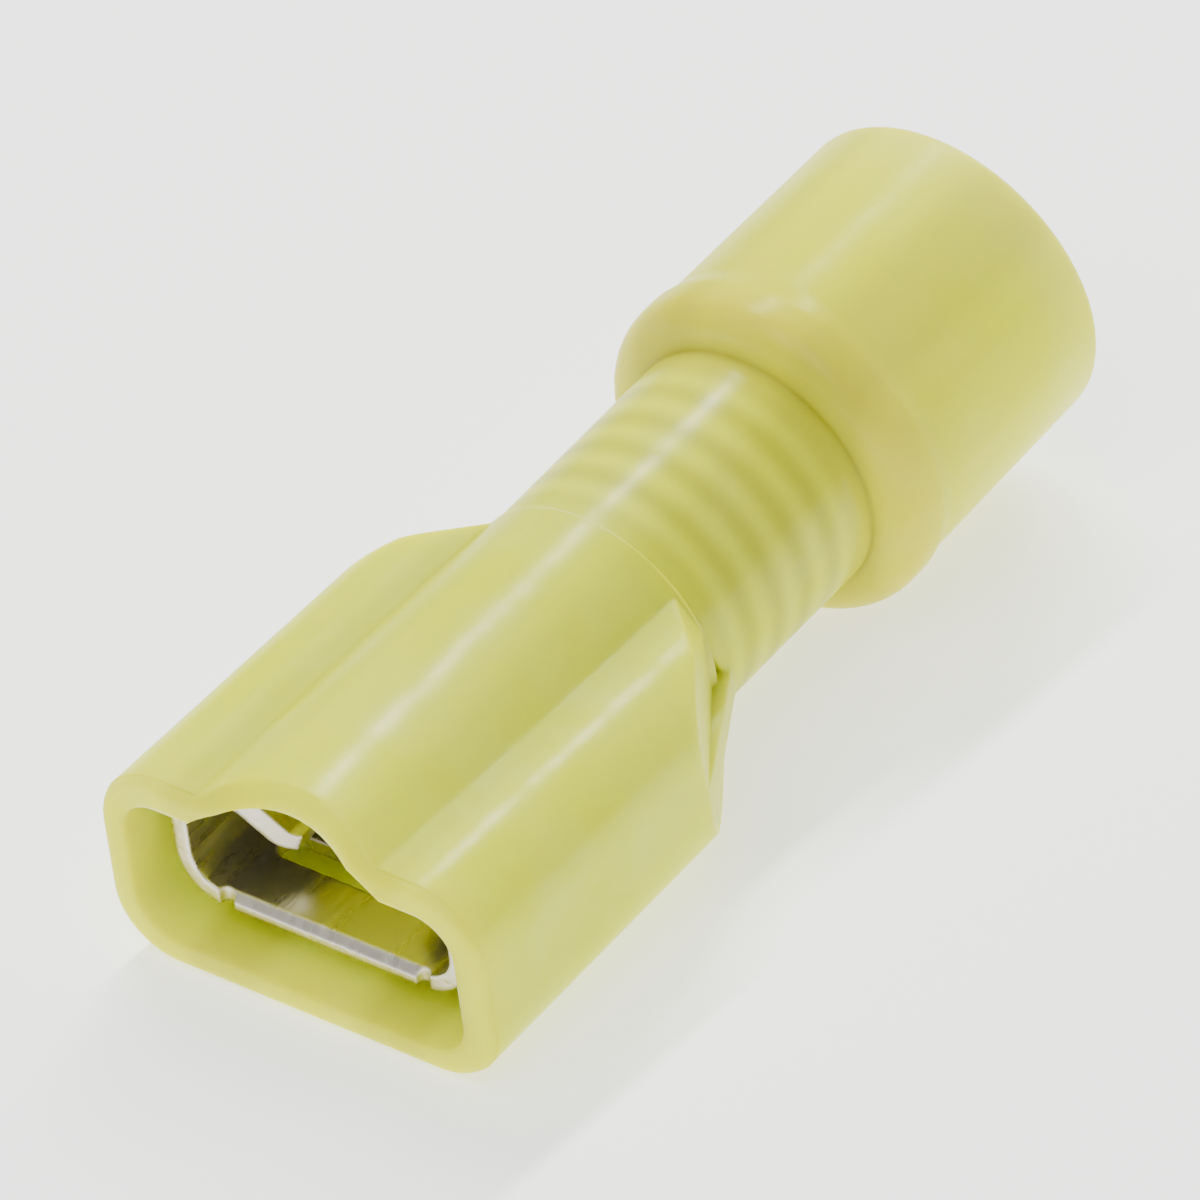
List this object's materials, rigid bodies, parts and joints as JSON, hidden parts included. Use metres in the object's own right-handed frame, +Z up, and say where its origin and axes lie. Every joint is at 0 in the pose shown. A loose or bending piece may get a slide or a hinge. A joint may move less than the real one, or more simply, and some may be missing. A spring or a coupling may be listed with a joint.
{
  "type": "female spade terminal",
  "caption": "Fully insulated female spade terminal: translucent yellow nylon housing over a rolled tinned receptacle with a crimp barrel for round wire.",
  "frame": {"origin": "centre of the wire entry, on the barrel axis at the housing's rear end", "axes": "+Y along the barrel axis out of the wire entry, so the mouth for the tab faces -Y; +Z up from the flat base towards the rolls and the hump; +X across the tab"},
  "size_m": [0.0106, 0.0256, 0.0086],
  "materials": {
    "nylon": "translucent pale yellow nylon, satin gloss",
    "tinned_brass": "bright tin plating",
    "sleeve_metal": "tin plating"
  },
  "bodies": {
    "root": {"housing": "nylon", "terminal": "tinned_brass", "support_sleeve": "sleeve_metal"}
  },
  "joints": []
}
